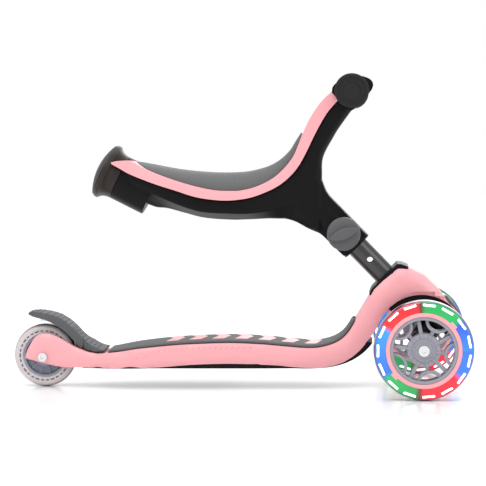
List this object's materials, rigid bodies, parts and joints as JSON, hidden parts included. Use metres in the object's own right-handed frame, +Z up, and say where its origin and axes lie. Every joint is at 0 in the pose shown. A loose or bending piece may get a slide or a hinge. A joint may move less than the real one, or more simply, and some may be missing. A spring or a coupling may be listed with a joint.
{
  "type": "kick scooter",
  "caption": "Child's three-wheeled lean-to-steer scooter in low ride-on form, with a saddle frame on a short column, crossbar handle, ribbed deck and rear fender brake.",
  "frame": {"origin": "on the floor under the middle of the bounding box", "axes": "+X forwards, +Y to the rider's left, +Z up"},
  "size_m": [0.577, 0.2836, 0.3917],
  "materials": {
    "pink_plastic": "satin moulded",
    "black_plastic": "satin",
    "black_tube": "powder coated",
    "dark_grey_rubber": "matt, ribbed",
    "grey_foam": "matt, soft",
    "knob_grey": "satin",
    "clear_tyre": "clear cast",
    "white_light": "lit",
    "wheel_grey": "satin",
    "zinc_steel": "zinc plated"
  },
  "bodies": {
    "chassis": {"deck_shell": "pink_plastic", "undertray": "black_plastic", "undertray_screws": "zinc_steel", "deck_mat": "dark_grey_rubber", "deck_mat_inlay": "pink_plastic", "head_housing": "black_plastic", "head_collar": "black_plastic", "kingpin": "zinc_steel", "column_tube": "black_tube", "column_bolt": "zinc_steel", "column_nut": "zinc_steel", "steering_spring": "zinc_steel", "lock_button_spring": "zinc_steel", "rear_axle_bolt": "zinc_steel", "rear_axle_nut": "zinc_steel", "rear_axle_spacers": "zinc_steel", "brake_hinge_pin": "zinc_steel", "brake_spring": "zinc_steel"},
    "truck": {"truck_beam": "black_plastic", "kingpin_bushes": "black_plastic", "front_axle_bolts": "zinc_steel", "front_axle_washers": "zinc_steel", "axle_magnets": "zinc_steel"},
    "front_wheel_right": {"front_tyre_right": "clear_tyre", "tyre_lights_right": "white_light", "wheel_trim_right": "pink_plastic", "front_core_right": "wheel_grey", "front_bearings_right": "zinc_steel"},
    "front_wheel_left": {"front_tyre_left": "clear_tyre", "tyre_lights_left": "white_light", "wheel_trim_left": "pink_plastic", "front_core_left": "wheel_grey", "front_bearings_left": "zinc_steel"},
    "rear_wheel": {"rear_tyre": "clear_tyre", "rear_core": "wheel_grey", "rear_bearings": "zinc_steel"},
    "brake": {"brake_fender": "dark_grey_rubber", "brake_liner": "zinc_steel"},
    "seat_frame": {"frame_shell_right": "black_plastic", "frame_shell_left": "black_plastic", "frame_screws": "zinc_steel", "column_bush": "black_plastic", "saddle_trim": "pink_plastic", "seat_pad": "grey_foam", "socket_plug": "black_plastic", "handlebar_hub": "black_plastic", "handlebar_tube": "black_tube", "grip_right": "dark_grey_rubber", "grip_left": "dark_grey_rubber", "bar_plug_right": "black_plastic", "bar_plug_left": "black_plastic"},
    "height_lock": {"lock_knob": "knob_grey", "lock_pin": "zinc_steel"},
    "lock_button": {"steering_lock_button": "knob_grey"}
  },
  "joints": [
    {"name": "truck_steer", "type": "hinge", "parent": "chassis", "child": "truck", "pos_m": [0.228, 0, 0.0605], "axis": [0.6428, 0, 0.766], "range_deg": [-15, 15], "stiffness_Nm_per_rad": 30, "deforming": ["steering_spring"]},
    {"name": "front_right_spin", "type": "hinge", "parent": "truck", "child": "front_wheel_right", "pos_m": [0.228, -0.128, 0.0605], "axis": [0, 1, 0], "continuous": true},
    {"name": "front_left_spin", "type": "hinge", "parent": "truck", "child": "front_wheel_left", "pos_m": [0.228, 0.128, 0.0605], "axis": [0, 1, 0], "continuous": true},
    {"name": "rear_spin", "type": "hinge", "parent": "chassis", "child": "rear_wheel", "pos_m": [-0.2485, 0, 0.04], "axis": [0, 1, 0], "continuous": true},
    {"name": "brake_press", "type": "hinge", "parent": "chassis", "child": "brake", "pos_m": [-0.184, 0, 0.039], "axis": [0, -1, 0], "range_deg": [0, 2.5], "stiffness_Nm_per_rad": 40, "springref_deg": -2.86, "deforming": ["brake_spring"]},
    {"name": "seat_height", "type": "slide", "parent": "chassis", "child": "seat_frame", "axis": [-0.6947, 0, 0.7193], "range_m": [-0.047, 0]},
    {"name": "knob_turn", "type": "hinge", "parent": "seat_frame", "child": "height_lock", "pos_m": [0.13171, 0, 0.19417], "axis": [0, -1, 0], "range_deg": [0, 90]},
    {"name": "lock_button_press", "type": "slide", "parent": "chassis", "child": "lock_button", "axis": [-0.7837, 0, -0.6211], "range_m": [0, 0.003], "stiffness_N_per_m": 600, "springref_m": -0.001, "deforming": ["lock_button_spring"]}
  ]
}
